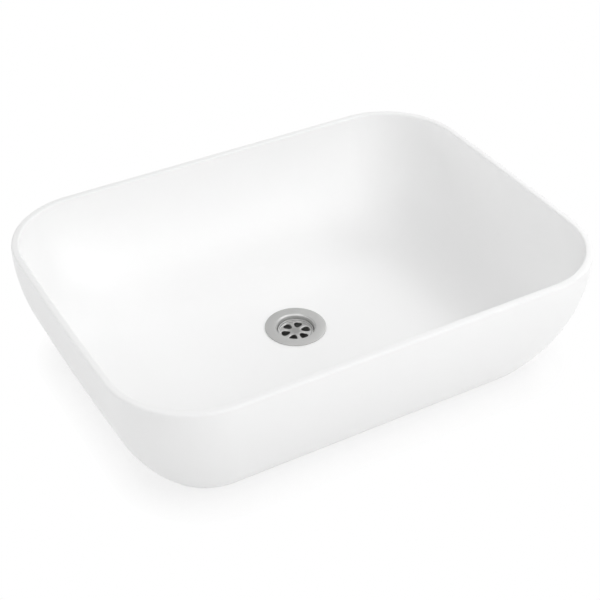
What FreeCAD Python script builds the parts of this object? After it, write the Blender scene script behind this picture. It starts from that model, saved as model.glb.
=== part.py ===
"""Countertop basin: a glazed bowl on a foot ring, with a grid waste whose strainer lifts out.

The origin is the middle of the foot, on the plane where the foot meets the countertop. X runs along the
basin, -Y is the front and +Z is up. All sizes are in millimetres.
"""

import FreeCAD
import Part
import Sketcher
import math
import os

doc = FreeCAD.newDocument("countertop_basin")
Vector = FreeCAD.Vector
Constraint = Sketcher.Constraint

# Driving dimensions
SIZES = {
    # bowl, outside
    "basin_length": 500,
    "basin_width": 370,
    "basin_height": 135,
    "rim_corner": 84,
    "rim_thickness": 7.5,
    "side_bow": 4,
    "foot_inset": 48.5,
    "wall_curve": 2.25,
    "corner_taper": 0.65,
    # bowl, inside: the wall sweeps into the floor, and the floor falls to the seat of the waste
    "sweep_inset": 95,
    "sweep_curve": 2.6,
    "sweep_corner_taper": 0.4,
    "floor_margin": 3,
    "floor_fall": 3,
    "floor_thickness": 12,
    "seat_height": 22,
    "seat_margin": 2.5,
    "seat_straight": 3.5,
    "drain_setback": 11,
    # bowl, underneath
    "foot_width": 14,
    "foot_round": 6,
    "hollow_draft": 4,
    "hollow_round": 2,
    # waste body
    "thread_diameter": 41.9,
    "hole_clearance": 3.1,
    "gasket_seat": 6,
    "gasket_recess_depth": 2.5,
    "flange_overlap": 2.5,
    "flange_edge": 1,
    "flange_lift": 0.2,
    "boss_clearance": 0.5,
    "body_length": 52,
    "cup_wall": 1.7,
    "cup_depth": 8.1,
    "cup_round": 1.8,
    "ledge_width": 2,
    "socket_wall": 2.2,
    "socket_depth": 12,
    # strainer
    "strainer_gap": 0.95,
    "strainer_sheet": 2,
    "strainer_crown": 0.4,
    "bead_width": 1.6,
    "bead_rise": 1.8,
    "petal_count": 6,
    "petal_angle": -11,
    "petal_start": 4.3,
    "petal_margin": 1.75,
    "petal_width": 8.2,
    "petal_tip": 0.4,
    "petal_corner": 2.4,
    "petal_round": 0.6,
    # seals, washer and nut
    "gasket_thickness": 1.5,
    "gasket_clearance": 0.5,
    "thread_clearance": 0.15,
    "cone_seat": 7.5,
    "cone_thickness": 4.5,
    "cone_lip": 3.5,
    "cone_lip_taper": 0.6,
    "washer_thickness": 1.6,
    "nut_wall": 5.05,
    "nut_height": 9,
    "nut_chamfer": 1.5,
    # tailpiece
    "tail_shoulder": 2.875,
    "tail_wall": 1.2,
    "tail_reach": 46,
    "tail_washer_thickness": 1.5,
    "tail_head_clearance": 0.1,
}

sheet = doc.addObject("Spreadsheet::Sheet", "sizes")
for row, (alias, value) in enumerate(SIZES.items(), start=1):
    sheet.set(f"A{row}", str(value))
    sheet.setAlias(f"A{row}", alias)
doc.recompute()

# Share of a wall that a full round takes at each of its two edges
ROUND_RATIO = 0.48

# Radii on the drain's axis, as expressions on the sheet
THREAD = "(sizes.thread_diameter/2)"
CLEAR = f"({THREAD} + sizes.thread_clearance)"
HOLE = f"({THREAD} + sizes.hole_clearance/2)"
RECESS = f"({HOLE} + sizes.gasket_seat)"
FLANGE = f"({RECESS} + sizes.flange_overlap)"
CONE = f"({HOLE} + sizes.cone_seat)"
CUP = f"({THREAD} - sizes.cup_wall)"
BORE = f"({CUP} - sizes.ledge_width)"
SOCKET = f"({THREAD} - sizes.socket_wall)"
STRAINER = f"({CUP} - sizes.strainer_gap)"
PLATE = f"({STRAINER} - sizes.bead_width)"
TAIL_HEAD = f"({SOCKET} - sizes.tail_head_clearance)"
TAIL = f"({SOCKET} - sizes.tail_shoulder)"
TAIL_BORE = f"({TAIL} - sizes.tail_wall)"

# Levels of the waste, above the seat of its flange
FLANGE_TOP = "(sizes.flange_lift + sizes.flange_edge)"
GASKET_TOP = "(sizes.gasket_thickness - sizes.gasket_recess_depth)"
LEDGE = f"({FLANGE_TOP} - sizes.cup_depth)"
CONE_END = "(-sizes.floor_thickness - sizes.cone_thickness)"
WASHER_END = f"({CONE_END} - sizes.washer_thickness)"
BODY_END = f"({FLANGE_TOP} - sizes.body_length)"
SOCKET_TOP = f"({BODY_END} + sizes.socket_depth)"
TAIL_TOP = f"({SOCKET_TOP} - sizes.tail_washer_thickness)"
TAIL_END = f"({BODY_END} - sizes.tail_reach)"

# A curve's points and a sketch's own axes and origin, as the sketcher numbers them
START, END, CENTRE = range(1, 4)
Y_AXIS, X_AXIS = range(-2, 0)
ORIGIN = (X_AXIS, START)

sub_parts = []


def new_body(name):
    """A sub-part in the frame of the basin."""
    body = doc.addObject("PartDesign::Body", name)
    body.Label = name
    sub_parts.append(body)
    return body


def new_waste_body(name, level="0"):
    """A sub-part on the drain's axis, with its own origin at a level above the seat of the flange."""
    body = new_body(name)
    body.setExpression("Placement.Base.y", "sizes.drain_setback")
    body.setExpression("Placement.Base.z", f"sizes.seat_height + {level}")
    return body


def origin_feature(body, role):
    """One of the body's own origin planes or axes."""
    return next(feature for feature in body.Origin.OriginFeatures if feature.Role == role)


def new_sketch(body, name, role):
    """An empty sketch on one of the body's own origin planes."""
    sketch = body.newObject("Sketcher::SketchObject", name)
    sketch.AttachmentSupport = [(origin_feature(body, role), "")]
    sketch.MapMode = "FlatFace"
    return sketch


def bind(sketch, name, constraint, expression):
    """A named dimension of a sketch, tied to the sheet."""
    index = sketch.addConstraint(constraint)
    sketch.renameConstraint(index, name)
    sketch.setExpression(f"Constraints.{name}", expression)


def add_arc(sketch, x, y, radius, first, last):
    """An arc in a sketch, with its angles in radians."""
    circle = Part.Circle(Vector(x, y, 0), Vector(0, 0, 1), radius)
    return sketch.addGeometry(Part.ArcOfCircle(circle, first, last))


def add_circle(sketch, x, y, radius, guide=False):
    """A circle in a sketch, or a construction circle."""
    return sketch.addGeometry(Part.Circle(Vector(x, y, 0), Vector(0, 0, 1), radius), guide)


def add_line(sketch, first, last):
    """A straight edge in a sketch."""
    return sketch.addGeometry(Part.LineSegment(Vector(*first, 0), Vector(*last, 0)))


def add_polygon(sketch, spots):
    """A closed run of straight edges through some points."""
    lines = []
    for first, last in zip(spots, spots[1:] + spots[:1]):
        lines.append(add_line(sketch, first, last))
    for line, following in zip(lines, lines[1:] + lines[:1]):
        sketch.addConstraint(Constraint("Coincident", line, END, following, START))
    return lines


def smooth_loop(sketch, curves):
    """Joins curves end to start, tangent to each other, into one closed outline."""
    for curve, following in zip(curves, curves[1:] + curves[:1]):
        sketch.addConstraint(Constraint("Tangent", curve, END, following, START))


def profile_point(sketch, name, curve, end, radius, height):
    """Ties one corner of a turned profile to its radius and height."""
    bind(sketch, f"{name}_radius", Constraint("DistanceX", *ORIGIN, curve, end, 1), radius)
    bind(sketch, f"{name}_height", Constraint("DistanceY", *ORIGIN, curve, end, 1), height)


def rounded_section(body, name, half_length, half_width, corner, height, setback="0"):
    """A level section of the basin: straight long sides, slightly bowed short sides, round corners.

    It is drawn at the size of the rim, and its dimensions then bring it to its own size.
    """
    a = SIZES["basin_length"] / 2
    b = SIZES["basin_width"] / 2
    r = SIZES["rim_corner"]
    side = b * b / (2 * SIZES["side_bow"])
    ky = b - r
    kx = a - side + math.sqrt((side - r) ** 2 - ky**2)
    turn = math.asin(ky / (side - r))
    quarter = math.pi / 2
    sketch = new_sketch(body, name, "XY_Plane")
    right = add_arc(sketch, a - side, 0, side, -turn, turn)
    back_right = add_arc(sketch, kx, ky, r, turn, quarter)
    back = add_line(sketch, (kx, b), (-kx, b))
    back_left = add_arc(sketch, -kx, ky, r, quarter, 2 * quarter - turn)
    left = add_arc(sketch, side - a, 0, side, 2 * quarter - turn, 2 * quarter + turn)
    front_left = add_arc(sketch, -kx, -ky, r, 2 * quarter + turn, 3 * quarter)
    front = add_line(sketch, (-kx, -b), (kx, -b))
    front_right = add_arc(sketch, kx, -ky, r, 3 * quarter, 4 * quarter - turn)
    smooth_loop(sketch, [right, back_right, back, back_left, left, front_left, front, front_right])
    for long_side in (back, front):
        sketch.addConstraint(Constraint("Horizontal", long_side))
    for short_side in (right, left):
        sketch.addConstraint(Constraint("PointOnObject", short_side, CENTRE, X_AXIS))
    for other in (back_left, front_left, front_right):
        sketch.addConstraint(Constraint("Equal", back_right, other))
    sketch.addConstraint(Constraint("Equal", right, left))
    bow = f"(({half_width})^2/(2*sizes.side_bow))"
    to_centre = f"{bow} - ({half_length})"
    bind(sketch, "corner", Constraint("Radius", back_right, r), corner)
    bind(sketch, "bow_radius", Constraint("Radius", right, side), bow)
    bind(sketch, "back_edge", Constraint("DistanceY", *ORIGIN, back, START, b), half_width)
    bind(sketch, "front_edge", Constraint("DistanceY", front, START, *ORIGIN, b), half_width)
    bind(sketch, "right_bow", Constraint("DistanceX", right, CENTRE, *ORIGIN, side - a), to_centre)
    bind(sketch, "left_bow", Constraint("DistanceX", *ORIGIN, left, CENTRE, side - a), to_centre)
    sketch.setExpression("AttachmentOffset.Base.y", setback)
    sketch.setExpression("AttachmentOffset.Base.z", height)
    return sketch


def loft(body, kind, name, sections, ruled=False):
    """A loft through sections in order, added to the body or taken from it."""
    feature = body.newObject(f"PartDesign::{kind}", name)
    feature.Profile = (sections[0], [""])
    feature.Sections = [(section, [""]) for section in sections[1:]]
    feature.Ruled = ruled
    doc.recompute()
    return feature


def drain_pocket(body, name, radius, height):
    """Cuts a round hole on the drain's axis, from a height upwards."""
    before = body.Shape.Volume
    sketch = new_sketch(body, f"{name}_circle", "XY_Plane")
    circle = add_circle(sketch, 0, 1, 1)
    sketch.addConstraint(Constraint("PointOnObject", circle, CENTRE, Y_AXIS))
    bind(sketch, "setback", Constraint("DistanceY", *ORIGIN, circle, CENTRE, 1), "sizes.drain_setback")
    bind(sketch, "radius", Constraint("Radius", circle, 1), radius)
    sketch.setExpression("AttachmentOffset.Base.z", height)
    feature = body.newObject("PartDesign::Pocket", name)
    feature.Profile = (sketch, [""])
    feature.Type = "ThroughAll"
    feature.Reversed = True
    doc.recompute()
    if body.Shape.Volume >= before:
        raise RuntimeError(f"{name} cut nothing")


def revolve(body, kind, sketch, name):
    """Turns a profile a full turn about the body's Z axis, added to the body or taken from it."""
    feature = body.newObject(f"PartDesign::{kind}", name)
    feature.Profile = (sketch, [""])
    feature.ReferenceAxis = (sketch, ["V_Axis"])
    feature.Angle = 360
    doc.recompute()
    return feature


def turned(body, corners, kind="Revolution", name="turned"):
    """A turned solid or cut from the corners of its profile: a name, a radius and a height for each.

    The profile is drawn as a regular polygon, and the dimensions of each corner then bring it into place.
    """
    sketch = new_sketch(body, f"{body.Name}_{name}_profile", "XZ_Plane")
    size = SIZES["thread_diameter"]
    spots = []
    for step in range(len(corners)):
        angle = 2 * math.pi * step / len(corners)
        spots.append((size * (2 + math.cos(angle)), size * math.sin(angle)))
    lines = add_polygon(sketch, spots)
    for line, (corner, radius, height) in zip(lines, corners):
        profile_point(sketch, corner, line, START, radius, height)
    return revolve(body, kind, sketch, f"{body.Name}_{name}")


def ring(body, inner, outer, top, bottom):
    """A plain turned ring."""
    corners = [
        ("inner_top", inner, top),
        ("outer_top", outer, top),
        ("outer_bottom", outer, bottom),
        ("inner_bottom", inner, bottom),
    ]
    return turned(body, corners)


def fillet(body, name, base, edges, radius):
    """Rounds some edges of a feature, given by their numbers."""
    feature = body.newObject("PartDesign::Fillet", name)
    feature.Base = (base, [f"Edge{number}" for number in edges])
    feature.setExpression("Radius", radius)
    doc.recompute()
    return feature


def level_edges(feature, height, reach=math.inf):
    """Numbers of the edges that lie in a level plane and come no further out along X than a reach."""
    near = 1e-3
    found = []
    for number, edge in enumerate(feature.Shape.Edges, start=1):
        box = edge.BoundBox
        level = max(abs(box.ZMin - height), abs(box.ZMax - height)) < near
        if level and max(abs(box.XMin), abs(box.XMax)) < reach + near:
            found.append(number)
    return found


def top_circles(feature, count, drop=0):
    """Numbers of the outermost circles in the highest plane of a turned feature, or in a plane below it."""
    near = 1e-3
    level = feature.Shape.BoundBox.ZMax - drop
    circles = []
    for number, edge in enumerate(feature.Shape.Edges, start=1):
        if edge.Degenerated or not isinstance(edge.Curve, Part.Circle):
            continue
        if abs(edge.Curve.Center.z - level) < near:
            circles.append((edge.Curve.Radius, number))
    return [number for radius, number in sorted(circles, reverse=True)[:count]]


def dome_holes(feature):
    """Numbers of the edges of the holes in the upper face of a crowned disc."""
    domes = [face for face in feature.Shape.Faces if isinstance(face.Surface, Part.Sphere)]
    upper = max(domes, key=lambda face: face.Surface.Center.z)
    rims = []
    for wire in upper.Wires:
        if not wire.isSame(upper.OuterWire):
            rims += wire.Edges
    edges = enumerate(feature.Shape.Edges, start=1)
    return [number for number, edge in edges if any(edge.isSame(rim) for rim in rims)]


def make_basin_bowl():
    """The casting: an outer loft to the foot, an inner loft to the floor, and a dished floor."""
    body = new_body("basin_bowl")
    half_length = "sizes.basin_length/2"
    half_width = "sizes.basin_width/2"
    floor_edge = "(sizes.seat_height + sizes.floor_fall)"

    outer = []
    for step, depth in enumerate((0, 0.25, 0.5, 0.75, 1)):
        inset = f"(sizes.foot_inset*{depth}^sizes.wall_curve)"
        outer.append(rounded_section(
            body, f"outer_section_{step}",
            f"{half_length} - {inset}",
            f"{half_width} - {inset}",
            f"sizes.rim_corner - sizes.corner_taper*{inset}",
            f"sizes.basin_height*(1 - {depth})",
        ))
    casting = loft(body, "AdditiveLoft", "outer_wall", outer)
    casting = fillet(body, "foot_edge", casting, level_edges(casting, 0), "sizes.foot_round")

    inner = []
    for step, angle in enumerate((0, 15, 30, 45, 60, 75, 90)):
        sweep = f"(sizes.sweep_inset*(1 - cos({angle} deg)^(2/sizes.sweep_curve)))"
        drop = f"(sin({angle} deg)^(2/sizes.sweep_curve))"
        inner.append(rounded_section(
            body, f"inner_section_{step}",
            f"{half_length} - sizes.rim_thickness - {sweep}",
            f"{half_width} - sizes.rim_thickness - {sweep}",
            f"sizes.rim_corner - sizes.rim_thickness - sizes.sweep_corner_taper*{sweep}",
            f"sizes.basin_height - (sizes.basin_height - {floor_edge})*{drop}",
        ))
    casting = loft(body, "SubtractiveLoft", "inner_wall", inner)

    edge_inset = "(sizes.rim_thickness + sizes.sweep_inset + sizes.floor_margin)"
    edge_corner = "(sizes.rim_corner - sizes.rim_thickness - sizes.sweep_corner_taper*sizes.sweep_inset)"
    seat = f"({FLANGE} + sizes.seat_margin)"
    dish = []
    for step, way in enumerate((0, 0.2, 0.4, 0.6, 0.8, 1)):
        ease = way * way * (3 - 2 * way)
        dish.append(rounded_section(
            body, f"floor_section_{step}",
            f"({half_length} - {edge_inset})*(1 - {way}) + {seat}*{way}",
            f"({half_width} - {edge_inset})*(1 - {way}) + {seat}*{way}",
            f"{edge_corner}*(1 - {way}) + ({seat} - sizes.seat_straight)*{way}",
            f"{floor_edge} - sizes.floor_fall*{ease}",
            f"sizes.drain_setback*{way}",
        ))
    casting = loft(body, "SubtractiveLoft", "dished_floor", dish)
    rim = level_edges(casting, SIZES["basin_height"])
    casting = fillet(body, "rim_edge", casting, rim, f"{ROUND_RATIO}*sizes.rim_thickness")

    hollow_height = "(sizes.seat_height - sizes.floor_thickness)"
    hollow = []
    for name, height, draft in (("mouth", "0", "0"), ("ceiling", hollow_height, "sizes.hollow_draft")):
        inset = f"(sizes.foot_inset + sizes.foot_width + {draft})"
        hollow.append(rounded_section(
            body, f"hollow_{name}",
            f"{half_length} - {inset}",
            f"{half_width} - {inset}",
            f"sizes.rim_corner - sizes.corner_taper*{inset}",
            height,
        ))
    casting = loft(body, "SubtractiveLoft", "underside_hollow", hollow, ruled=True)
    mouth = level_edges(casting, 0, hollow[0].Shape.BoundBox.XMax)
    fillet(body, "hollow_edge", casting, mouth, "sizes.hollow_round")

    drain_pocket(body, "gasket_recess", RECESS, "sizes.seat_height - sizes.gasket_recess_depth")
    drain_pocket(body, "drain_hole", HOLE, "0")


def make_waste_body():
    """Flange, strainer cup, threaded tail and tailpiece socket of the waste, turned in one piece."""
    body = new_waste_body("waste_body")
    boss = f"{RECESS} - sizes.boss_clearance"
    corners = [
        ("cup_mouth", CUP, FLANGE_TOP),
        ("flange_top", FLANGE, FLANGE_TOP),
        ("flange_bottom", FLANGE, "sizes.flange_lift"),
        ("boss_top", boss, "sizes.flange_lift"),
        ("boss_bottom", boss, GASKET_TOP),
        ("thread_top", THREAD, GASKET_TOP),
        ("thread_end", THREAD, BODY_END),
        ("socket_mouth", SOCKET, BODY_END),
        ("socket_end", SOCKET, SOCKET_TOP),
        ("bore_bottom", BORE, SOCKET_TOP),
        ("bore_top", BORE, LEDGE),
        ("ledge", CUP, LEDGE),
    ]
    solid = turned(body, corners)
    flange_rim = top_circles(solid, 1)
    solid = fillet(body, "flange_edge", solid, flange_rim, f"{ROUND_RATIO}*sizes.flange_edge")
    cup_mouth = top_circles(solid, 2)[1:]
    fillet(body, "cup_edge", solid, cup_mouth, "sizes.cup_round")


def petal_sketch(body):
    """One fan-shaped hole of the strainer, along the X axis: a narrow tip, a wide end and round corners."""
    plate = SIZES["thread_diameter"] / 2 - SIZES["cup_wall"] - SIZES["strainer_gap"] - SIZES["bead_width"]
    far = plate - SIZES["petal_margin"]
    tip = SIZES["petal_tip"]
    tip_place = SIZES["petal_start"] + tip
    corner = SIZES["petal_corner"]
    spread = SIZES["petal_width"] / 2 - corner
    corner_place = math.sqrt((far - corner) ** 2 - spread**2)
    turn = math.atan2(spread, corner_place)
    run = math.hypot(corner_place - tip_place, spread)
    lean = math.atan2(spread, corner_place - tip_place) + math.asin((corner - tip) / run)
    side = math.pi / 2 + lean
    back = 2 * math.pi
    tip_x = tip_place + tip * math.cos(side)
    tip_y = tip * math.sin(side)
    far_x = corner_place + corner * math.cos(side)
    far_y = spread + corner * math.sin(side)
    sketch = new_sketch(body, "petal", "XY_Plane")
    end = add_arc(sketch, 0, 0, far, -turn, turn)
    upper = add_arc(sketch, corner_place, spread, corner, turn, side)
    upper_side = add_line(sketch, (far_x, far_y), (tip_x, tip_y))
    point = add_arc(sketch, tip_place, 0, tip, side, back - side)
    lower_side = add_line(sketch, (tip_x, -tip_y), (far_x, -far_y))
    lower = add_arc(sketch, corner_place, -spread, corner, back - side, back - turn)
    smooth_loop(sketch, [end, upper, upper_side, point, lower_side, lower])
    sketch.addConstraint(Constraint("Coincident", end, CENTRE, *ORIGIN))
    sketch.addConstraint(Constraint("PointOnObject", point, CENTRE, X_AXIS))
    sketch.addConstraint(Constraint("Equal", upper, lower))
    from_axis = "sizes.petal_width/2 - sizes.petal_corner"
    from_centre = "sizes.petal_start + sizes.petal_tip"
    bind(sketch, "end_radius", Constraint("Radius", end, far), f"{PLATE} - sizes.petal_margin")
    bind(sketch, "corner_radius", Constraint("Radius", upper, corner), "sizes.petal_corner")
    bind(sketch, "tip_radius", Constraint("Radius", point, tip), "sizes.petal_tip")
    bind(sketch, "tip_place", Constraint("DistanceX", *ORIGIN, point, CENTRE, tip_place), from_centre)
    bind(sketch, "upper_place", Constraint("DistanceY", *ORIGIN, upper, CENTRE, spread), from_axis)
    bind(sketch, "lower_place", Constraint("DistanceY", lower, CENTRE, *ORIGIN, spread), from_axis)
    return sketch


def strainer_profile(body):
    """Half section of the strainer: a crowned sheet from the axis out to a raised rim with a flat foot."""
    rim = SIZES["thread_diameter"] / 2 - SIZES["cup_wall"] - SIZES["strainer_gap"]
    plate = rim - SIZES["bead_width"]
    sheet_top = SIZES["strainer_sheet"]
    brim = sheet_top + SIZES["bead_rise"]
    crown = SIZES["strainer_crown"]
    dome = (plate**2 + crown**2) / (2 * crown)
    up = math.pi / 2
    edge_angle = up - math.asin(plate / dome)
    sketch = new_sketch(body, "strainer_profile", "XZ_Plane")
    under = add_arc(sketch, 0, crown - dome, dome, edge_angle, up)
    upper = add_arc(sketch, 0, crown - dome + sheet_top, dome, edge_angle, up)
    foot = add_line(sketch, (plate, 0), (rim, 0))
    edge = add_line(sketch, (rim, 0), (rim, brim))
    top = add_line(sketch, (rim, brim), (plate, brim))
    step = add_line(sketch, (plate, brim), (plate, sheet_top))
    axis = add_line(sketch, (0, sheet_top + crown), (0, crown))
    meetings = [
        (under, START, foot, START),
        (foot, END, edge, START),
        (edge, END, top, START),
        (top, END, step, START),
        (step, END, upper, START),
        (upper, END, axis, START),
        (axis, END, under, END),
    ]
    for meeting in meetings:
        sketch.addConstraint(Constraint("Coincident", *meeting))
    for curve, point in ((under, CENTRE), (upper, CENTRE), (axis, START), (axis, END)):
        sketch.addConstraint(Constraint("PointOnObject", curve, point, Y_AXIS))
    for point in (START, END):
        sketch.addConstraint(Constraint("PointOnObject", foot, point, X_AXIS))
    brim_height = "sizes.strainer_sheet + sizes.bead_rise"
    middle = "sizes.strainer_sheet + sizes.strainer_crown"
    bind(sketch, "foot_radius", Constraint("DistanceX", *ORIGIN, foot, START, plate), PLATE)
    bind(sketch, "edge_radius", Constraint("DistanceX", *ORIGIN, foot, END, rim), STRAINER)
    profile_point(sketch, "top", top, START, STRAINER, brim_height)
    profile_point(sketch, "step", step, START, PLATE, brim_height)
    profile_point(sketch, "sheet", step, END, PLATE, "sizes.strainer_sheet")
    bind(sketch, "middle_top", Constraint("DistanceY", *ORIGIN, axis, START, sheet_top + crown), middle)
    bind(sketch, "middle_bottom", Constraint("DistanceY", *ORIGIN, axis, END, crown), "sizes.strainer_crown")
    return sketch


def make_strainer():
    """A crowned disc with a rolled rim and fan-shaped holes with soft edges; it rests in the cup."""
    body = new_waste_body("strainer", LEDGE)
    body.setExpression("Placement.Rotation.Angle", "sizes.petal_angle")
    disc = revolve(body, "Revolution", strainer_profile(body), "strainer_disc")
    root = f"{ROUND_RATIO}*min(sizes.bead_rise; sizes.petal_margin)"
    disc = fillet(body, "bead_root", disc, top_circles(disc, 1, SIZES["bead_rise"]), root)
    roll = f"{ROUND_RATIO}*min(sizes.bead_width; sizes.bead_rise)"
    fillet(body, "rolled_rim", disc, top_circles(disc, 2), roll)
    petal = body.newObject("PartDesign::Pocket", "petal_hole")
    petal.Profile = (petal_sketch(body), [""])
    petal.Type = "ThroughAll"
    petal.Midplane = True
    doc.recompute()
    pattern = body.newObject("PartDesign::PolarPattern", "petal_ring")
    pattern.Originals = [petal]
    pattern.Axis = (origin_feature(body, "Z_Axis"), [""])
    pattern.Angle = 360
    pattern.setExpression("Occurrences", "sizes.petal_count")
    body.Tip = pattern
    doc.recompute()
    soft = f"min(sizes.petal_round; {ROUND_RATIO}*sizes.petal_margin)"
    fillet(body, "soft_holes", pattern, dome_holes(pattern), soft)


def make_seals():
    """The soft ring over the ceramic, and the tapered ring and slip washer under it."""
    body = new_waste_body("flange_gasket")
    inner = f"{HOLE} + sizes.gasket_clearance"
    outer = f"{RECESS} - sizes.gasket_clearance"
    ring(body, inner, outer, GASKET_TOP, "-sizes.gasket_recess_depth")

    body = new_waste_body("cone_gasket")
    lip_root = f"({HOLE} - sizes.gasket_clearance)"
    lip_top = "sizes.cone_lip - sizes.floor_thickness"
    corners = [
        ("lip_inside", CLEAR, lip_top),
        ("lip_outside", f"{lip_root} - sizes.cone_lip_taper", lip_top),
        ("lip_root", lip_root, "-sizes.floor_thickness"),
        ("outer_top", CONE, "-sizes.floor_thickness"),
        ("outer_bottom", CONE, CONE_END),
        ("inner_bottom", CLEAR, CONE_END),
    ]
    turned(body, corners)

    body = new_waste_body("friction_washer")
    ring(body, CLEAR, CONE, CONE_END, WASHER_END)


def make_lock_nut():
    """A hexagon nut on the thread, with its lower corners turned off."""
    body = new_waste_body("lock_nut", WASHER_END)
    half_flats = SIZES["thread_diameter"] / 2 + SIZES["nut_wall"]
    corner = half_flats / math.cos(math.radians(30))
    spots = []
    for step in range(6):
        angle = math.radians(60 * step)
        spots.append((corner * math.cos(angle), corner * math.sin(angle)))
    sketch = new_sketch(body, "hexagon", "XY_Plane")
    lines = add_polygon(sketch, spots)
    guide = add_circle(sketch, 0, 0, corner, guide=True)
    bore = add_circle(sketch, 0, 0, SIZES["thread_diameter"] / 2)
    for line in lines:
        sketch.addConstraint(Constraint("PointOnObject", line, START, guide))
    for line in lines[1:]:
        sketch.addConstraint(Constraint("Equal", lines[0], line))
    sketch.addConstraint(Constraint("Horizontal", lines[1]))
    for circle in (guide, bore):
        sketch.addConstraint(Constraint("Coincident", circle, CENTRE, *ORIGIN))
    flats = f"({THREAD} + sizes.nut_wall)"
    bind(sketch, "corner_radius", Constraint("Radius", guide, corner), f"{flats}/cos(30 deg)")
    bind(sketch, "bore_radius", Constraint("Radius", bore, corner / 2), CLEAR)
    block = body.newObject("PartDesign::Pad", "hexagon_block")
    block.Profile = (sketch, [""])
    block.Reversed = True
    block.setExpression("Length", "sizes.nut_height")
    doc.recompute()
    outside = f"({flats} + 4*sizes.nut_chamfer)"
    corners = [
        ("flat", flats, "-sizes.nut_height"),
        ("outer", outside, "-sizes.nut_height"),
        ("upper", outside, "2*sizes.nut_chamfer - sizes.nut_height"),
    ]
    before = body.Shape.Volume
    turned(body, corners, "Groove", "corner_cut")
    if body.Shape.Volume >= before:
        raise RuntimeError("the nut's corners were not cut")


def make_tailpiece():
    """The outlet tube, its thick screwed head in the socket of the body, and the washer above it."""
    body = new_waste_body("tailpiece")
    corners = [
        ("head_inside", TAIL_BORE, TAIL_TOP),
        ("head_top", TAIL_HEAD, TAIL_TOP),
        ("head_bottom", TAIL_HEAD, BODY_END),
        ("tube_top", TAIL, BODY_END),
        ("tube_end", TAIL, TAIL_END),
        ("bore_end", TAIL_BORE, TAIL_END),
    ]
    turned(body, corners)

    body = new_waste_body("tailpiece_washer")
    ring(body, TAIL_BORE, TAIL_HEAD, SOCKET_TOP, TAIL_TOP)


def write_parts():
    """Stops if anything failed, then writes one file for each sub-part."""
    for item in doc.Objects:
        if "Invalid" in item.State or "Error" in item.State:
            raise RuntimeError(f"{item.Label} failed: {item.State}")
    for body in sub_parts:
        if body.Shape.isNull() or not body.Shape.isValid() or len(body.Shape.Solids) != 1:
            raise RuntimeError(f"{body.Label} is not one valid solid")
    os.makedirs("parts", exist_ok=True)
    for body in sub_parts:
        body.Shape.exportStep(f"parts/{body.Label}.step")
        print(f"{body.Label}: {body.Shape.Volume / 1000:.1f} cm3")


make_basin_bowl()
make_waste_body()
make_strainer()
make_seals()
make_lock_nut()
make_tailpiece()
doc.recompute()
write_parts()
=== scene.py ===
"""Looks of the countertop basin: glaze, steel, rubber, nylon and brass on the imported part.

Places are in the part's own frame: the foot stands on z = 0 and the front faces -Y. Lengths are in metres,
but the forms of the waste body and the strainer are given in millimetres.
"""

import math

import bmesh
import bpy
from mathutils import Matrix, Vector
from mathutils.geometry import convex_hull_2d


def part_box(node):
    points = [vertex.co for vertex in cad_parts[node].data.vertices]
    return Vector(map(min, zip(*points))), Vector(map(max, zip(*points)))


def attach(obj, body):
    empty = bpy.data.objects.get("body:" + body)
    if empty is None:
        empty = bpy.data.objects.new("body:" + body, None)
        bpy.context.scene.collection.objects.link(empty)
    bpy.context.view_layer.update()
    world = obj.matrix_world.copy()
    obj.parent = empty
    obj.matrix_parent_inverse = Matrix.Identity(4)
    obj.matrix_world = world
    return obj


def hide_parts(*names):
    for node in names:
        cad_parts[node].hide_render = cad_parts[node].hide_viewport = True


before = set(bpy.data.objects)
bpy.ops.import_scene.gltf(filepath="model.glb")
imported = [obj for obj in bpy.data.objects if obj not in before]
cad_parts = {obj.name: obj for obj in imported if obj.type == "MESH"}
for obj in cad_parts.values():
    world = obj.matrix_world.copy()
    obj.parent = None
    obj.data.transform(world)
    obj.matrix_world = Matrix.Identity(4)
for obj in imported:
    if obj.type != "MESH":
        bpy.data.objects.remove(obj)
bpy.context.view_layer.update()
scene = bpy.context.scene
scene.view_settings.view_transform = "Standard"

MM = 0.001
WELD = 0.001 * MM
SHARP_ANGLE = math.radians(40)
WHITE = (1.0, 1.0, 1.0, 1.0)
BLACK = (0.0, 0.0, 0.0, 1.0)

# Camera, fitted to the outlines of the rim, the foot and the flange
CAMERA_AZIMUTH = -29.79
CAMERA_ELEVATION = 36.59
CAMERA_DISTANCE = 1.3646
CAMERA_TARGET = Vector((-0.0010, 0.0004, 0.0632))
CAMERA_SENSOR = 36.0
CAMERA_LENS = 83.03

# Soft studio light: azimuth from +X towards +Y and elevation in degrees, size in metres, power in watts
LAMP_DISTANCE = 2.5
LAMP_AIM = Vector((0, 0, 0.06))
LAMPS = {
    "front": (308, 35, 2.0, 20.5),
    "right": (30, 37, 0.7, 11.9),
    "left": (225, 45, 1.2, 14.2),
    "back_low": (135, 8, 1.2, 11.0),
    "front_top": (330, 50, 0.8, 4.2),
}
AMBIENT = 0.405

# Floor: a white ground round the foot, whose shadow fades with the distance from a rectangle under it
FLOOR_RADIUS = 6.0
FLOOR_Z = -0.05 * MM
FLOOR_COLOUR = (0.95, 0.95, 0.95, 1.0)
FLOOR_SHADE = 0.22
FLOOR_GLOW = 0.734
FOOT_FLAT = 0.01 * MM
SHADOW_HALF_LENGTH = 0.1505
SHADOW_HALF_WIDTH = 0.0855
SHADOW_NEAR = 0.063
SHADOW_FAR = 0.095

# Black disc below the open end of the outlet
DARK_RADIUS = 15 * MM
DARK_STEPS = 48
DARK_GAP = 0.2 * MM

# Noise: most of its values lie between low and high; a scale is the number of features in a metre
NOISE_LOW = 0.3
NOISE_HIGH = 0.7
NOISE_DETAIL = 3.0
LINE_DETAIL = 4.0

# Mix node: the numbers of its two inputs and of its output, for each kind of data
MIX_SOCKETS = {"FLOAT": (2, 3, 0), "RGBA": (6, 7, 2)}

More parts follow.
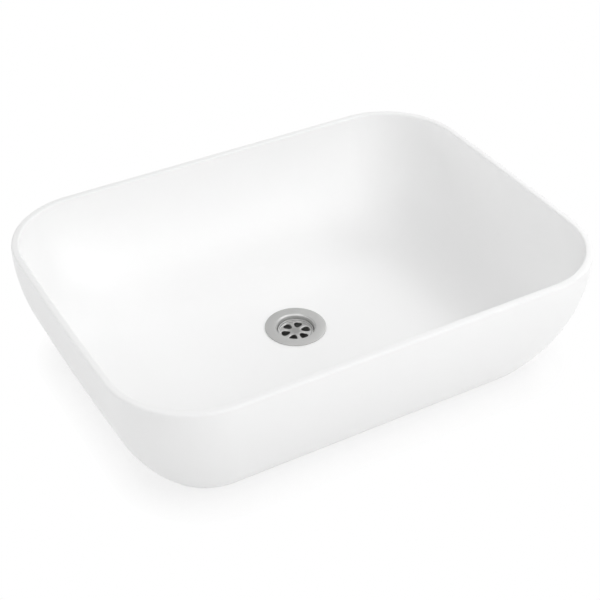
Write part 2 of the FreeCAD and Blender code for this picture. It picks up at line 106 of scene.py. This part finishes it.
# Glaze, and the bare clay under the foot
GLAZE_COLOUR = (0.945, 0.945, 0.945, 1.0)
GLAZE_TONES = ((0.94, 0.941, 0.94, 1.0), (0.95, 0.95, 0.949, 1.0))
GLAZE_TONE_SCALE = 14.0
GLAZE_ROUGHNESS = 0.5
GLAZE_GLOSS = (0.47, 0.55)
GLAZE_GLOSS_SCALE = 45.0
GLAZE_SPECULAR = 0.35
GLAZE_PEEL_SCALE = 260.0
GLAZE_PEEL_DETAIL = 1.0
GLAZE_RELIEF = 0.05 * MM
GLAZE_RELIEF_STRENGTH = 0.15
CLAY_TONES = ((0.70, 0.67, 0.61, 1.0), (0.80, 0.77, 0.71, 1.0))
CLAY_GRAIN_SCALE = 900.0
CLAY_ROUGHNESS = 0.9
CLAY_TOP_Z = 0.4 * MM

# Steel with turning lines: the cup is dull below its lip and painted lighter, and the strainer has painted
# shade round its middle
STEEL_COLOUR = (0.45, 0.45, 0.445, 1.0)
STEEL_GLOSS = (0.34, 0.46)
STEEL_LINE_SCALE = 3500.0
STEEL_LINE_SHADE = 0.93
STEEL_CLOUD_SCALE = 220.0
STEEL_RELIEF = 0.02 * MM
STEEL_RELIEF_STRENGTH = 0.25
STRAINER_COLOUR = (0.44, 0.44, 0.435, 1.0)
STRAINER_GLOSS = (0.36, 0.48)
# Painted shade: the strainer's steel is drawn darker round its middle
CENTRE_SHADE_COLOUR = (0.28, 0.28, 0.275, 1.0)
CENTRE_SHADE_INNER = 3.0 * MM
CENTRE_SHADE_OUTER = 9.0 * MM
# Painted light: the cup's wall below its lip is drawn in a lighter steel; in the bore below the ledge only
# half as much, as painted shade
CUP_PAINTED_LIGHT_COLOUR = (0.58, 0.58, 0.575, 1.0)
CUP_ROUGHNESS = 0.85
CUP_DULL_Z = 0.0210
CUP_POLISHED_Z = 0.0232
BORE_Z = 0.0150
BORE_FADE = 0.1 * MM
BORE_DULL_AND_LIGHT_SHARE = 0.5

# Black rubber with a dusty bloom and a moulded grain
RUBBER = {
    "name": "black_rubber",
    "colour": (0.02, 0.02, 0.02, 1.0),
    "roughness": 0.6,
    "tones": ((0.016, 0.016, 0.017, 1.0), (0.035, 0.035, 0.034, 1.0)),
    "gloss": (0.52, 0.72),
    "tone_scale": 180.0,
    "grain_scale": 2200.0,
    "relief": 0.03 * MM,
    "strength": 0.4,
}

# Milky nylon, smooth from the mould
NYLON = {
    "name": "white_nylon",
    "colour": (0.82, 0.81, 0.76, 1.0),
    "roughness": 0.4,
    "tones": ((0.80, 0.79, 0.73, 1.0), (0.84, 0.83, 0.79, 1.0)),
    "gloss": (0.34, 0.48),
    "tone_scale": 120.0,
    "grain_scale": 1500.0,
    "relief": 0.02 * MM,
    "strength": 0.2,
}

# Machined brass that has begun to dull
BRASS_COLOUR = (0.72, 0.53, 0.24, 1.0)
BRASS_TONES = ((0.76, 0.57, 0.27, 1.0), (0.58, 0.41, 0.19, 1.0))
BRASS_TONE_SCALE = 160.0
BRASS_ROUGHNESS = 0.3
BRASS_GLOSS = (0.24, 0.42)
BRASS_LINE_SCALE = 2600.0
BRASS_RELIEF = 0.03 * MM
BRASS_RELIEF_STRENGTH = 0.3

# Rim of the bowl: a narrow flat top with soft edges, as a superellipse where the solid has round edges
RIM_TOP = 0.135
RIM_ROUND = 3.6 * MM
RIM_MARGIN = 0.1 * MM
RIM_LOW = RIM_TOP - RIM_ROUND - RIM_MARGIN
RIM_SQUARE = 3.5
RIM_CUTS = 2

# Waste: its axis, the seat of its flange, the ledge in its cup, and the steps of its round forms
DRAIN_Y = 0.011
SEAT_Z = 0.022
LEDGE_Z = 0.0151
TURN_STEPS = 128
ROUND_STEPS = 5

# Waste body, in millimetres: heights are above the seat of the flange
CUP_RADIUS = 19.25
CUP_LEDGE = -6.9
MOUTH_BEVEL = 1.5
MOUTH_ROUND = 0.3
FLANGE_RADIUS = 31.0
FLANGE_TOP = 1.2
FLANGE_UNDER = 0.2
FLANGE_ROUND = 0.48
BOSS_RADIUS = 28.0
BOSS_UNDER = -1.0
THREAD_RADIUS = 20.95
THREAD_TOP = -9.0
THREAD_END = -49.6
THREAD_PITCH = 2.309
THREAD_DEPTH = 1.3
THREAD_ROWS = 8
THREAD_START = 0.5 * THREAD_PITCH
BODY_END = -50.8
BODY_NOSE = 0.6
SOCKET_RADIUS = 18.75
SOCKET_TOP = -38.8
BORE_RADIUS = 17.25

# Strainer, in millimetres: heights are above the ledge that it rests on
STRAINER_RADIUS = 18.3
PLATE_RADIUS = 16.7
SHEET = 2.0
CROWN = 0.4
BRIM = 3.8
BEAD_ROOT = 0.79
BEAD_ROLL = 0.72
BEAD_FOOT = 0.3
PETAL_COUNT = 6
PETAL_ANGLE = -11.0
PETAL_CENTRE = 10.8
PETAL_LENGTH = 8.5
PETAL_WIDTH = 7.7
PETAL_SIDES = 3
PETAL_POINT = 0.1
PETAL_ROUND = 0.9
PETAL_ROWS = 4
RIM_STEPS = 20
SPOKE_STEPS = 12


def new_object(name, data):
    """An object for a mesh, a lamp or a camera, in the scene."""
    obj = bpy.data.objects.new(name, data)
    scene.collection.objects.link(obj)
    return obj


def new_material(name, colour, roughness, metallic=0.0):
    """A principled material with its plain values on the shader's own sockets."""
    material = bpy.data.materials.new(name)
    material.use_nodes = True
    shader = material.node_tree.nodes["Principled BSDF"]
    shader.inputs["Base Color"].default_value = colour
    shader.inputs["Roughness"].default_value = roughness
    shader.inputs["Metallic"].default_value = metallic
    return material, shader


def add_node(material, kind, **settings):
    """A node of a material or world, with some of its properties set."""
    node = material.node_tree.nodes.new(kind)
    for key, value in settings.items():
        setattr(node, key, value)
    return node


def link(material, output, socket):
    """Joins an output to an input."""
    material.node_tree.links.new(output, socket)


def fill(material, socket, value):
    """Joins an output to an input, or sets the input to a plain value."""
    if isinstance(value, bpy.types.NodeSocket):
        link(material, value, socket)
    else:
        socket.default_value = value


def part_place(material):
    """Coordinates in the part's frame."""
    return add_node(material, "ShaderNodeTexCoord").outputs["Object"]


def part_axes(material):
    """Coordinates in the part's frame, as X, Y and Z."""
    axes = add_node(material, "ShaderNodeSeparateXYZ")
    link(material, part_place(material), axes.inputs["Vector"])
    return axes.outputs


def noise(material, place, scale, detail=NOISE_DETAIL):
    """Smooth noise of about one feature in each 1/scale metres, from 0 to 1."""
    node = add_node(material, "ShaderNodeTexNoise")
    link(material, place, node.inputs["Vector"])
    node.inputs["Scale"].default_value = scale
    node.inputs["Detail"].default_value = detail
    return node.outputs["Fac"]


def spread(material, value, low, high, from_low=NOISE_LOW, from_high=NOISE_HIGH):
    """A value brought from one range, which is that of the noise if none is given, to another."""
    node = add_node(material, "ShaderNodeMapRange")
    link(material, value, node.inputs["Value"])
    node.inputs["From Min"].default_value = from_low
    node.inputs["From Max"].default_value = from_high
    node.inputs["To Min"].default_value = low
    node.inputs["To Max"].default_value = high
    return node.outputs["Result"]


def math_node(material, operation, first, second=None):
    """A math node; an operand is an output or a plain number."""
    node = add_node(material, "ShaderNodeMath", operation=operation)
    fill(material, node.inputs[0], first)
    if second is not None:
        fill(material, node.inputs[1], second)
    return node.outputs["Value"]


def vector_math(material, operation, first, second=None):
    """A vector math node; the second operand is a plain vector."""
    node = add_node(material, "ShaderNodeVectorMath", operation=operation)
    link(material, first, node.inputs[0])
    if second is not None:
        node.inputs[1].default_value = second
    return node.outputs["Vector"]


def mix(material, kind, share, first, second):
    """A mix node for one kind of data."""
    node = add_node(material, "ShaderNodeMix", data_type=kind)
    low, high, out = MIX_SOCKETS[kind]
    link(material, share, node.inputs["Factor"])
    fill(material, node.inputs[low], first)
    fill(material, node.inputs[high], second)
    return node.outputs[out]


def mix_colour(material, share, first, second):
    """A colour between two plain colours or outputs."""
    return mix(material, "RGBA", share, first, second)


def mix_value(material, share, first, second):
    """A number between two plain numbers or outputs."""
    return mix(material, "FLOAT", share, first, second)


def bump(material, shader, height, distance, strength):
    """Fine relief on a shader."""
    node = add_node(material, "ShaderNodeBump")
    link(material, height, node.inputs["Height"])
    node.inputs["Distance"].default_value = distance
    node.inputs["Strength"].default_value = strength
    link(material, node.outputs["Normal"], shader.inputs["Normal"])


def seen_ray(material):
    """1 for rays that show a surface, straight, in a reflection or through glass, and 0 for its light."""
    rays = add_node(material, "ShaderNodeLightPath")
    seen = math_node(material, "MAXIMUM", rays.outputs["Is Camera Ray"], rays.outputs["Is Glossy Ray"])
    return math_node(material, "MAXIMUM", seen, rays.outputs["Is Transmission Ray"])


def drain_radius(material):
    """Distance from the drain's axis."""
    axes = part_axes(material)
    along = math_node(material, "SUBTRACT", axes["Y"], DRAIN_Y)
    across_square = math_node(material, "POWER", axes["X"], 2.0)
    along_square = math_node(material, "POWER", along, 2.0)
    return math_node(material, "SQRT", math_node(material, "ADD", across_square, along_square))


def drain_lines(material, scale):
    """Fine turning lines round the drain's axis, on flat faces and on walls alike, from 0 to 1."""
    reach = math_node(material, "ADD", drain_radius(material), part_axes(material)["Z"])
    node = add_node(material, "ShaderNodeTexNoise", noise_dimensions="1D")
    link(material, math_node(material, "MULTIPLY", reach, scale), node.inputs["W"])
    node.inputs["Scale"].default_value = 1.0
    node.inputs["Detail"].default_value = LINE_DETAIL
    return node.outputs["Fac"]


def make_glaze():
    """White glaze with a soft gloss, and bare clay where the foot was wiped clean before firing."""
    material, shader = new_material("white_glaze", GLAZE_COLOUR, GLAZE_ROUGHNESS)
    shader.inputs["Specular IOR Level"].default_value = GLAZE_SPECULAR
    place = part_place(material)
    bare = math_node(material, "LESS_THAN", part_axes(material)["Z"], CLAY_TOP_Z)
    cloud = spread(material, noise(material, place, GLAZE_TONE_SCALE), 0.0, 1.0)
    white = mix_colour(material, cloud, *GLAZE_TONES)
    grain = noise(material, place, CLAY_GRAIN_SCALE)
    clay = mix_colour(material, grain, *CLAY_TONES)
    link(material, mix_colour(material, bare, white, clay), shader.inputs["Base Color"])
    gloss = spread(material, noise(material, place, GLAZE_GLOSS_SCALE), *GLAZE_GLOSS)
    link(material, mix_value(material, bare, gloss, CLAY_ROUGHNESS), shader.inputs["Roughness"])
    peel = noise(material, place, GLAZE_PEEL_SCALE, GLAZE_PEEL_DETAIL)
    bump(material, shader, mix_value(material, bare, peel, grain), GLAZE_RELIEF, GLAZE_RELIEF_STRENGTH)
    return material


def steel_base(name, colour, gloss):
    """Satin stainless steel with turning lines; its uneven polish and its tone come back unlinked."""
    material, shader = new_material(name, colour, gloss[0], 1.0)
    lines = drain_lines(material, STEEL_LINE_SCALE)
    cloud = noise(material, part_place(material), STEEL_CLOUD_SCALE)
    uneven = math_node(material, "MULTIPLY", math_node(material, "ADD", lines, cloud), 0.5)
    polish = spread(material, uneven, *gloss)
    dull = tuple(STEEL_LINE_SHADE * channel for channel in colour[:3]) + (1.0,)
    tone = mix_colour(material, spread(material, lines, 0.0, 1.0), dull, colour)
    bump(material, shader, lines, STEEL_RELIEF, STEEL_RELIEF_STRENGTH)
    return material, shader, polish, tone


def make_steel():
    """The steel of the waste: polished on the flange, dull as pressed inside the cup. Painted light
    lightens the cup's wall, and only half as much in the bore below the ledge, a painted shade there.
    """
    material, shader, polish, tone = steel_base("satin_steel", STEEL_COLOUR, STEEL_GLOSS)
    height = part_axes(material)["Z"]
    # the cup is dull and painted lighter below its lip; in the bore below the ledge half as much, as
    # painted shade
    below = spread(material, height, 1.0, 0.0, CUP_DULL_Z, CUP_POLISHED_Z)
    bore_painted_shade = spread(material, height, BORE_DULL_AND_LIGHT_SHARE, 1.0, BORE_Z - BORE_FADE, BORE_Z)
    dull_and_painted_light = math_node(material, "MULTIPLY", below, bore_painted_shade)
    link(material, mix_value(material, dull_and_painted_light, polish, CUP_ROUGHNESS), shader.inputs["Roughness"])
    link(material, mix_colour(material, dull_and_painted_light, tone, CUP_PAINTED_LIGHT_COLOUR), shader.inputs["Base Color"])
    return material


def make_strainer_steel():
    """The strainer's steel, with painted shade that darkens it round the middle."""
    material, shader, polish, tone = steel_base("strainer_steel", STRAINER_COLOUR, STRAINER_GLOSS)
    # painted shade: darker towards the strainer's middle
    centre_shade = spread(material, drain_radius(material), 1.0, 0.0, CENTRE_SHADE_INNER, CENTRE_SHADE_OUTER)
    link(material, mix_colour(material, centre_shade, tone, CENTRE_SHADE_COLOUR), shader.inputs["Base Color"])
    link(material, polish, shader.inputs["Roughness"])
    return material


def make_moulded(name, colour, roughness, tones, gloss, tone_scale, grain_scale, relief, strength):
    """A moulded material, whose tone and gloss drift together and whose grain is fine."""
    material, shader = new_material(name, colour, roughness)
    place = part_place(material)
    drift = spread(material, noise(material, place, tone_scale), 0.0, 1.0)
    link(material, mix_colour(material, drift, *tones), shader.inputs["Base Color"])
    link(material, spread(material, drift, *gloss, 0.0, 1.0), shader.inputs["Roughness"])
    bump(material, shader, noise(material, place, grain_scale), relief, strength)
    return material


def make_brass():
    """Brass with turning lines and dull clouds."""
    material, shader = new_material("brass", BRASS_COLOUR, BRASS_ROUGHNESS, 1.0)
    lines = drain_lines(material, BRASS_LINE_SCALE)
    dull = spread(material, noise(material, part_place(material), BRASS_TONE_SCALE), 0.0, 1.0)
    link(material, mix_colour(material, dull, *BRASS_TONES), shader.inputs["Base Color"])
    link(material, spread(material, lines, *BRASS_GLOSS), shader.inputs["Roughness"])
    bump(material, shader, lines, BRASS_RELIEF, BRASS_RELIEF_STRENGTH)
    return material


def wear(name, material):
    """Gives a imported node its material."""
    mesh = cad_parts[name].data
    mesh.materials.clear()
    mesh.materials.append(material)


def set_way(vertex, way, outward):
    """Gives a vertex's corners one direction."""
    for loop in vertex.link_loops:
        loop[way] = outward


def round_way(vertex, way):
    """Direction out of the rim's round edge at a vertex: its rise follows from the height."""
    up = min(1.0, max(0.0, 1 - (RIM_TOP - vertex.co.z) / RIM_ROUND))
    side = vertex.link_loops[0][way].to_2d().normalized() * math.sqrt(1 - up * up)
    return Vector((*side, up))


def square_edge(vertex, way):
    """Moves a vertex of the round edge out to a squarer one, and returns its new direction."""
    rough = vertex.link_loops[0][way].copy()
    middle = vertex.co - RIM_ROUND * rough
    out = rough.normalized()
    side = out.to_2d()
    across = side.length
    swell = (across**RIM_SQUARE + out.z**RIM_SQUARE) ** (-1 / RIM_SQUARE)
    vertex.co = middle + RIM_ROUND * swell * out
    side = side.normalized() * across ** (RIM_SQUARE - 1)
    return Vector((*side, out.z ** (RIM_SQUARE - 1))).normalized()


def rim_vertices(bm):
    """Vertices on the round edges of the rim."""
    return [vertex for vertex in bm.verts if vertex.co.z > RIM_LOW]


def square_rim(bm, way):
    """Draws the rim's round edges finer and squarer, with a direction for each corner."""
    bmesh.ops.remove_doubles(bm, verts=rim_vertices(bm), dist=WELD)
    for vertex in rim_vertices(bm):
        set_way(vertex, way, round_way(vertex, way))
    edges = [edge for edge in bm.edges if min(vertex.co.z for vertex in edge.verts) > RIM_LOW]
    bmesh.ops.subdivide_edges(bm, edges=edges, cuts=RIM_CUTS, use_grid_fill=True)
    for vertex in rim_vertices(bm):
        set_way(vertex, way, square_edge(vertex, way))
    bmesh.ops.triangulate(bm, faces=[face for face in bm.faces if len(face.verts) > 3])


def make_bowl(material):
    """The bowl with the flat top of its thin rim; it stands for the solid with the round rim."""
    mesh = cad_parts["basin_bowl"].data.copy()
    mesh.name = "glazed_bowl"
    ways = mesh.attributes.new("way", "FLOAT_VECTOR", "CORNER")
    for item, normal in zip(ways.data, mesh.corner_normals):
        item.vector = normal.vector
    bm = bmesh.new()
    bm.from_mesh(mesh)
    square_rim(bm, bm.loops.layers.float_vector["way"])
    bm.to_mesh(mesh)
    bm.free()
    ways = mesh.attributes["way"]
    normals = [item.vector.normalized() for item in ways.data]
    mesh.attributes.remove(ways)
    mesh.normals_split_custom_set(normals)
    mesh.materials.clear()
    mesh.materials.append(material)
    bowl = new_object("glazed_bowl", mesh)
    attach(bowl, "basin")
    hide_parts("basin_bowl")


def rounded(corner, radius, start, end):
    """Points that round a corner of a profile between two directions, in degrees."""
    points = []
    for step in range(ROUND_STEPS + 1):
        angle = math.radians(start + (end - start) * step / ROUND_STEPS)
        points.append((corner[0] + radius * math.cos(angle), corner[1] + radius * math.sin(angle)))
    return points


def drain_point(base, x, y, z):
    """A place in metres, from millimetres off the drain's axis and above a base height."""
    return (x * MM, DRAIN_Y + y * MM, base + z * MM)


def smooth_object(bm, name, material):
    """An object for a mesh under edit, which is used up: smooth, but for its sharp edges."""
    bmesh.ops.recalc_face_normals(bm, faces=bm.faces)
    mesh = bpy.data.meshes.new(name)
    bm.to_mesh(mesh)
    bm.free()
    mesh.shade_smooth()
    mesh.set_sharp_from_angle(angle=SHARP_ANGLE)
    mesh.materials.append(material)
    return new_object(name, mesh)


def waste_profile():
    """Half section of the waste body, and the numbers of the thread's first and last points."""
    inset = MOUTH_ROUND * math.tan(math.pi / 8)
    points = [(CUP_RADIUS, CUP_LEDGE)]
    points += rounded((CUP_RADIUS + MOUTH_ROUND, FLANGE_TOP - MOUTH_BEVEL - inset), MOUTH_ROUND, 180, 135)
    points += rounded((CUP_RADIUS + MOUTH_BEVEL + inset, FLANGE_TOP - MOUTH_ROUND), MOUTH_ROUND, 135, 90)
    points += rounded((FLANGE_RADIUS - FLANGE_ROUND, FLANGE_TOP - FLANGE_ROUND), FLANGE_ROUND, 90, 0)
    points += [(FLANGE_RADIUS, FLANGE_UNDER), (BOSS_RADIUS, FLANGE_UNDER)]
    points += [(BOSS_RADIUS, BOSS_UNDER), (THREAD_RADIUS, BOSS_UNDER)]
    first = len(points)
    rows = round((THREAD_TOP - THREAD_END) / THREAD_PITCH * THREAD_ROWS)
    for row in range(rows + 1):
        points.append((THREAD_RADIUS, THREAD_TOP + (THREAD_END - THREAD_TOP) * row / rows))
    last = len(points) - 1
    points += [(THREAD_RADIUS - BODY_NOSE, BODY_END), (SOCKET_RADIUS, BODY_END)]
    points += [(SOCKET_RADIUS, SOCKET_TOP), (BORE_RADIUS, SOCKET_TOP), (BORE_RADIUS, CUP_LEDGE)]
    return points, first, last


def thread_cut(height, angle):
    """Depth of the thread at a height and an angle: a V that fades out at both ends."""
    turn = (height / THREAD_PITCH + angle / (2 * math.pi)) % 1.0
    wave = abs(2 * turn - 1)
    fade = min(1.0, (THREAD_TOP - height) / THREAD_PITCH, (height - THREAD_END) / THREAD_START)
    return THREAD_DEPTH * wave * max(0.0, fade)


def make_waste_body(material):
    """The waste body with its thread cut and its mouth bevelled; it stands for the plain turned solid."""
    points, first, last = waste_profile()
    bm = bmesh.new()
    rings = []
    for index, (radius, height) in enumerate(points):
        ring = []
        for step in range(TURN_STEPS):
            angle = 2 * math.pi * step / TURN_STEPS
            reach = radius
            if first <= index <= last:
                reach -= thread_cut(height, angle)
            place = drain_point(SEAT_Z, reach * math.cos(angle), reach * math.sin(angle), height)
            ring.append(bm.verts.new(place))
        rings.append(ring)
    for ring, following in zip(rings, rings[1:] + rings[:1]):
        for step in range(TURN_STEPS):
            other = (step + 1) % TURN_STEPS
            bm.faces.new((ring[step], following[step], following[other], ring[other]))
    body = smooth_object(bm, "threaded_waste", material)
    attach(body, "basin")
    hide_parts("waste_body")


def sector_outline(edge):
    """Points round one hole's share of the sheet: along the rim, in to the axis and out again."""
    half = math.pi / PETAL_COUNT
    points = []
    for step in range(RIM_STEPS):
        angle = half * (2 * step / RIM_STEPS - 1)
        points.append((edge * math.cos(angle), edge * math.sin(angle)))
    for step in range(SPOKE_STEPS):
        reach = edge * (1 - step / SPOKE_STEPS)
        points.append((reach * math.cos(half), reach * math.sin(half)))
    for step in range(SPOKE_STEPS):
        reach = edge * step / SPOKE_STEPS
        points.append((reach * math.cos(half), -reach * math.sin(half)))
    return points


def sheet_height(x, y):
    """Height of the sheet's underside, which is slightly crowned."""
    return CROWN * (1 - (x * x + y * y) / PLATE_RADIUS**2)


def sheet_column(point):
    """From a point under the sheet in to a hole, up its wall, over its soft edge and back out on top."""
    way = math.atan2(point[1], point[0] - PETAL_CENTRE)
    reach = PETAL_LENGTH / 2 * (1 - PETAL_POINT * math.cos(PETAL_SIDES * way))
    wall = (PETAL_CENTRE + reach * math.cos(way), PETAL_WIDTH / PETAL_LENGTH * reach * math.sin(way))
    lip = (wall[0] + PETAL_ROUND * math.cos(way), wall[1] + PETAL_ROUND * math.sin(way))
    column = []
    for row in range(PETAL_ROWS):
        share = row / PETAL_ROWS
        x, y = (outer + (inner - outer) * share for outer, inner in zip(point, wall))
        column.append((x, y, sheet_height(x, y)))
    column.append((*wall, sheet_height(*wall)))
    for across, up in rounded((PETAL_ROUND, -PETAL_ROUND), PETAL_ROUND, 180, 90):
        x = wall[0] + across * math.cos(way)
        y = wall[1] + across * math.sin(way)
        column.append((x, y, SHEET + sheet_height(x, y) + up))
    for row in range(PETAL_ROWS):
        share = (row + 1) / PETAL_ROWS
        x, y = (inner + (outer - inner) * share for outer, inner in zip(point, lip))
        column.append((x, y, SHEET + sheet_height(x, y)))
    return column


def bead_profile(edge):
    """Half section of the strainer's raised rim, from the sheet's top round to its underside."""
    top = SHEET + sheet_height(edge, 0)
    points = rounded((edge, top + BEAD_ROOT), BEAD_ROOT, -90, 0)
    points += rounded((PLATE_RADIUS + BEAD_ROLL, BRIM - BEAD_ROLL), BEAD_ROLL, 180, 90)
    points += rounded((STRAINER_RADIUS - BEAD_ROLL, BRIM - BEAD_ROLL), BEAD_ROLL, 90, 0)
    points += [(STRAINER_RADIUS, BEAD_FOOT), (STRAINER_RADIUS - BEAD_FOOT, 0), (PLATE_RADIUS, 0)]
    return points + [(edge, sheet_height(edge, 0))]


def add_columns(bm, columns, turn):
    """Joins neighbouring columns of points by faces, after a turn about the drain's axis."""
    rows = []
    for column in columns:
        row = []
        for x, y, z in column:
            across = x * math.cos(turn) - y * math.sin(turn)
            along = x * math.sin(turn) + y * math.cos(turn)
            row.append(bm.verts.new(drain_point(LEDGE_Z, across, along, z)))
        rows.append(row)
    for row, following in zip(rows, rows[1:]):
        for index in range(len(row) - 1):
            bm.faces.new((row[index], following[index], following[index + 1], row[index + 1]))


def make_strainer(material):
    """The strainer, with rounder holes and softer edges than the plain solid that it stands for."""
    edge = PLATE_RADIUS - BEAD_ROOT
    outline = sector_outline(edge)
    sheet = [sheet_column(point) for point in outline + outline[:1]]
    bead = []
    for x, y in outline[:RIM_STEPS + 1]:
        angle = math.atan2(y, x)
        bead.append([(r * math.cos(angle), r * math.sin(angle), z) for r, z in bead_profile(edge)])
    bm = bmesh.new()
    for petal in range(PETAL_COUNT):
        turn = math.radians(PETAL_ANGLE) + 2 * math.pi * petal / PETAL_COUNT
        add_columns(bm, sheet, turn)
        add_columns(bm, bead, turn)
    bmesh.ops.remove_doubles(bm, verts=bm.verts, dist=WELD)
    piece = smooth_object(bm, "pressed_strainer", material)
    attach(piece, "strainer")
    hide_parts("strainer")


def foot_outline():
    """Points of the foot's outer edge, in order round it."""
    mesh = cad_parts["basin_bowl"].data
    flat = [vertex.co.to_2d() for vertex in mesh.vertices if vertex.co.z < FOOT_FLAT]
    return [flat[index].to_3d() for index in convex_hull_2d(flat)]


def hide_back(material, shader):
    """Ends a material in a shader that shows from the face's front alone."""
    side = add_node(material, "ShaderNodeNewGeometry")
    clear = add_node(material, "ShaderNodeBsdfTransparent")
    both = add_node(material, "ShaderNodeMixShader")
    link(material, side.outputs["Backfacing"], both.inputs["Fac"])
    link(material, shader, both.inputs[1])
    link(material, clear.outputs[0], both.inputs[2])
    link(material, both.outputs[0], material.node_tree.nodes["Material Output"].inputs["Surface"])


def floor_reach(material):
    """0 on the ground by the foot, where its shadow shows, to 1 where the ground is plain white."""
    place = vector_math(material, "ABSOLUTE", part_place(material))
    place = vector_math(material, "SUBTRACT", place, (SHADOW_HALF_LENGTH, SHADOW_HALF_WIDTH, 0))
    place = vector_math(material, "MAXIMUM", place, (0, 0, 0))
    length = add_node(material, "ShaderNodeVectorMath", operation="LENGTH")
    link(material, place, length.inputs[0])
    return spread(material, length.outputs["Value"], 0.0, 1.0, SHADOW_NEAR, SHADOW_FAR)


def floor_material():
    """A white ground that keeps a soft shadow; seen from below it isn't there."""
    material = bpy.data.materials.new("white_ground")
    material.use_nodes = True
    nodes = material.node_tree.nodes
    nodes.remove(nodes["Principled BSDF"])
    matt = add_node(material, "ShaderNodeBsdfDiffuse")
    matt.inputs["Color"].default_value = FLOOR_COLOUR
    shade = add_node(material, "ShaderNodeBsdfDiffuse")
    reach = floor_reach(material)
    shaded = tuple(FLOOR_SHADE * channel for channel in FLOOR_COLOUR[:3]) + (1.0,)
    link(material, mix_colour(material, reach, shaded, BLACK), shade.inputs["Color"])
    glow = add_node(material, "ShaderNodeEmission")
    link(material, mix_value(material, reach, FLOOR_GLOW, 1.0), glow.inputs["Strength"])
    seen = add_node(material, "ShaderNodeAddShader")
    link(material, shade.outputs[0], seen.inputs[0])
    link(material, glow.outputs[0], seen.inputs[1])
    pick = add_node(material, "ShaderNodeMixShader")
    link(material, seen_ray(material), pick.inputs["Fac"])
    link(material, matt.outputs[0], pick.inputs[1])
    link(material, seen.outputs[0], pick.inputs[2])
    hide_back(material, pick.outputs[0])
    return material


def make_floor():
    """The ground round the foot."""
    bm = bmesh.new()
    inner = []
    outer = []
    for point in foot_outline():
        inner.append(bm.verts.new(point))
        outer.append(bm.verts.new(point.normalized() * FLOOR_RADIUS))
    for index in range(len(inner)):
        other = (index + 1) % len(inner)
        bm.faces.new((inner[index], outer[index], outer[other], inner[other]))
    mesh = bpy.data.meshes.new("ground")
    bm.to_mesh(mesh)
    bm.free()
    mesh.materials.append(floor_material())
    floor = new_object("ground", mesh)
    floor.location.z = FLOOR_Z


def make_dark():
    """A black disc that closes the open end of the outlet to light; from below it isn't there."""
    outlet_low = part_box("tailpiece")[0]
    mesh = bpy.data.meshes.new("outlet_dark")
    bm = bmesh.new()
    bmesh.ops.create_circle(bm, cap_ends=True, segments=DARK_STEPS, radius=DARK_RADIUS)
    bm.to_mesh(mesh)
    bm.free()
    material, shader = new_material("no_light", BLACK, 1.0)
    shader.inputs["Specular IOR Level"].default_value = 0.0
    hide_back(material, shader.outputs["BSDF"])
    mesh.materials.append(material)
    disc = new_object("outlet_dark", mesh)
    disc.location = (0, DRAIN_Y, outlet_low.z - DARK_GAP)


def direction(azimuth, elevation):
    """Unit vector to a place in the studio, from degrees: azimuth from +X towards +Y."""
    turn = math.radians(azimuth)
    rise = math.radians(elevation)
    return Vector((math.cos(turn) * math.cos(rise), math.sin(turn) * math.cos(rise), math.sin(rise)))


def make_lamps():
    """Large soft lamps round the basin."""
    for name, (azimuth, elevation, size, power) in LAMPS.items():
        data = bpy.data.lights.new(name, "AREA")
        data.shape = "DISK"
        data.size = size
        data.energy = power
        lamp = new_object(name, data)
        way = direction(azimuth, elevation)
        lamp.location = LAMP_AIM + way * LAMP_DISTANCE
        lamp.rotation_mode = "QUATERNION"
        lamp.rotation_quaternion = way.to_track_quat("Z", "Y")


def make_world():
    """Even light from all round; the camera and reflections see plain white."""
    world = bpy.data.worlds.new("studio")
    scene.world = world
    world.use_nodes = True
    background = world.node_tree.nodes["Background"]
    background.inputs["Color"].default_value = WHITE
    link(world, mix_value(world, seen_ray(world), AMBIENT, 1.0), background.inputs["Strength"])


def make_camera():
    """The photo's viewpoint."""
    data = bpy.data.cameras.new("camera")
    data.sensor_width = CAMERA_SENSOR
    data.lens = CAMERA_LENS
    camera = new_object("camera", data)
    back = direction(CAMERA_AZIMUTH - 90, CAMERA_ELEVATION)
    camera.location = CAMERA_TARGET + back * CAMERA_DISTANCE
    camera.rotation_mode = "QUATERNION"
    camera.rotation_quaternion = back.to_track_quat("Z", "Y")
    scene.camera = camera


steel = make_steel()
rubber = make_moulded(**RUBBER)
wear("tailpiece", steel)
wear("flange_gasket", rubber)
wear("cone_gasket", rubber)
wear("tailpiece_washer", rubber)
wear("friction_washer", make_moulded(**NYLON))
wear("lock_nut", make_brass())
make_bowl(make_glaze())
make_waste_body(steel)
make_strainer(make_strainer_steel())
make_floor()
make_dark()
make_lamps()
make_world()
make_camera()
